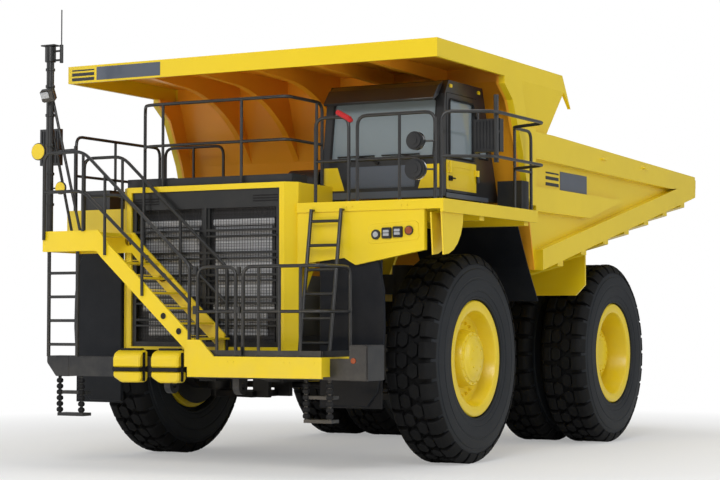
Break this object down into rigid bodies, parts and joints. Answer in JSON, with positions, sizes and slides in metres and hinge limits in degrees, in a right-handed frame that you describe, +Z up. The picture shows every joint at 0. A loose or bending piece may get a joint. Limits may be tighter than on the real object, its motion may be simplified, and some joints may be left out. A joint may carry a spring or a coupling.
{
  "type": "rigid mining dump truck",
  "caption": "Rigid off-road dump truck with cab guard over the cab, diagonal front stairs, twin rear wheels and a tipping body on two-stage hoists.",
  "frame": {"origin": "on the ground, at the centre of the overall length and of the width over the mirrors", "axes": "+X to the left (cab) side of the truck, -Y to its front, +Z up"},
  "size_m": [6.8799, 10.99, 5.8998],
  "materials": {
    "yellow_paint": "gloss paint with dust",
    "black_paint": "satin black paint",
    "dark_grey_paint": "satin dark grey paint",
    "tyre_rubber": "matt blue-grey rubber",
    "sheet_rubber": "matt rubber sheet",
    "tinted_glass": "clear tinted glass",
    "seat_fabric": "woven dark cloth",
    "cab_plastic": "grained plastic",
    "radiator_core": "fine dull fins",
    "engine_iron": "painted casting",
    "hoist_tube": "brushed",
    "hoist_chrome": "polished"
  },
  "bodies": {
    "chassis": {"access_ladders": "black_paint", "cab_console": "cab_plastic", "cab_deck": "yellow_paint", "cab_glass": "tinted_glass", "cab_seats": "seat_fabric", "cab_shell": "dark_grey_paint", "deck_equipment": "black_paint", "diagonal_stairs": "yellow_paint", "driveline": "dark_grey_paint", "engine_block": "engine_iron", "frame_rails": "yellow_paint", "front_bumper": "yellow_paint", "front_handrails": "black_paint", "front_suspension": "dark_grey_paint", "front_walkway": "yellow_paint", "grille_guard": "black_paint", "hanging_steps": "black_paint", "hood_handrails": "black_paint", "hood_shell": "yellow_paint", "left_handrails": "black_paint", "mast": "black_paint", "mirrors": "black_paint", "mud_guards": "sheet_rubber", "radiator": "radiator_core", "rear_axle": "yellow_paint", "right_deck": "yellow_paint", "right_handrails": "black_paint", "side_tanks": "yellow_paint", "wheel_chocks": "yellow_paint"},
    "dump_body": {"bed_canopy": "yellow_paint", "bed_ribs": "yellow_paint", "bed_side_rails": "yellow_paint", "bed_tub": "yellow_paint", "canopy_flanks": "yellow_paint"},
    "cab_door": {"cab_door": "yellow_paint", "door_glass": "tinted_glass"},
    "front_left_wheel": {"front_left_rim": "yellow_paint", "front_left_tyre": "tyre_rubber"},
    "front_right_wheel": {"front_right_rim": "yellow_paint", "front_right_tyre": "tyre_rubber"},
    "left_hoist_barrel": {"left_hoist_barrel": "yellow_paint"},
    "left_hoist_rod": {"left_hoist_rod": "hoist_chrome"},
    "left_hoist_stage": {"left_hoist_stage": "hoist_tube"},
    "left_knuckle": {"left_knuckle": "dark_grey_paint"},
    "rear_left_wheels": {"rear_left_rim": "yellow_paint", "rear_left_tyres": "tyre_rubber"},
    "rear_right_wheels": {"rear_right_rim": "yellow_paint", "rear_right_tyres": "tyre_rubber"},
    "right_hoist_barrel": {"right_hoist_barrel": "yellow_paint"},
    "right_hoist_rod": {"right_hoist_rod": "hoist_chrome"},
    "right_hoist_stage": {"right_hoist_stage": "hoist_tube"},
    "right_knuckle": {"right_knuckle": "dark_grey_paint"},
    "tie_rod": {"tie_rod": "dark_grey_paint"}
  },
  "joints": [
    {"name": "body_lift", "type": "hinge", "parent": "chassis", "child": "dump_body", "pos_m": [0, 3.355, 2], "axis": [-1, 0, 0], "range_deg": [0, 48]},
    {"name": "left_hoist_tilt", "type": "hinge", "parent": "chassis", "child": "left_hoist_barrel", "pos_m": [0.8, 0.585, 0.88], "axis": [-1, 0, 0], "range_deg": [0, 23.06]},
    {"name": "left_hoist_first_stage", "type": "slide", "parent": "left_hoist_barrel", "child": "left_hoist_stage", "axis": [0, -0.0982, 0.9952], "range_m": [0, 1.1007]},
    {"name": "left_hoist_second_stage", "type": "slide", "parent": "left_hoist_stage", "child": "left_hoist_rod", "axis": [0, -0.0982, 0.9952], "range_m": [0, 1.1007]},
    {"name": "right_hoist_tilt", "type": "hinge", "parent": "chassis", "child": "right_hoist_barrel", "pos_m": [-0.8, 0.585, 0.88], "axis": [-1, 0, 0], "range_deg": [0, 23.06]},
    {"name": "right_hoist_first_stage", "type": "slide", "parent": "right_hoist_barrel", "child": "right_hoist_stage", "axis": [0, -0.0982, 0.9952], "range_m": [0, 1.1007]},
    {"name": "right_hoist_second_stage", "type": "slide", "parent": "right_hoist_stage", "child": "right_hoist_rod", "axis": [0, -0.0982, 0.9952], "range_m": [0, 1.1007]},
    {"name": "left_steer", "type": "hinge", "parent": "chassis", "child": "left_knuckle", "pos_m": [1.43, -2.645, 1.345], "axis": [0, 0, 1], "range_deg": [-41, 41]},
    {"name": "right_steer", "type": "hinge", "parent": "chassis", "child": "right_knuckle", "pos_m": [-1.43, -2.645, 1.345], "axis": [0, 0, 1], "range_deg": [-41, 41]},
    {"name": "tie_rod_swing", "type": "hinge", "parent": "left_knuckle", "child": "tie_rod", "pos_m": [1.43, -2.125, 0.947], "axis": [0, 0, 1], "range_deg": [-41, 41]},
    {"name": "front_left_roll", "type": "hinge", "parent": "left_knuckle", "child": "front_left_wheel", "pos_m": [2.1625, -2.645, 1.345], "axis": [1, 0, 0], "continuous": true},
    {"name": "rear_left_roll", "type": "hinge", "parent": "chassis", "child": "rear_left_wheels", "pos_m": [1.75, 2.305, 1.345], "axis": [1, 0, 0], "continuous": true},
    {"name": "front_right_roll", "type": "hinge", "parent": "right_knuckle", "child": "front_right_wheel", "pos_m": [-2.1625, -2.645, 1.345], "axis": [1, 0, 0], "continuous": true},
    {"name": "rear_right_roll", "type": "hinge", "parent": "chassis", "child": "rear_right_wheels", "pos_m": [-1.75, 2.305, 1.345], "axis": [1, 0, 0], "continuous": true},
    {"name": "cab_door_swing", "type": "hinge", "parent": "chassis", "child": "cab_door", "pos_m": [2.426, -2.445, 4.09], "axis": [0, 0, 1], "range_deg": [0, 65]}
  ],
  "couplings": [
    {"joint": "left_hoist_tilt", "follows": "body_lift", "ratio": 0.47946},
    {"joint": "left_hoist_first_stage", "follows": "body_lift", "m_per_rad": 1.3133},
    {"joint": "left_hoist_second_stage", "follows": "body_lift", "m_per_rad": 1.3133},
    {"joint": "right_hoist_tilt", "follows": "body_lift", "ratio": 0.47946},
    {"joint": "right_hoist_first_stage", "follows": "body_lift", "m_per_rad": 1.3133},
    {"joint": "right_hoist_second_stage", "follows": "body_lift", "m_per_rad": 1.3133},
    {"joint": "right_steer", "follows": "left_steer", "ratio": 1},
    {"joint": "tie_rod_swing", "follows": "left_steer", "ratio": -1}
  ]
}
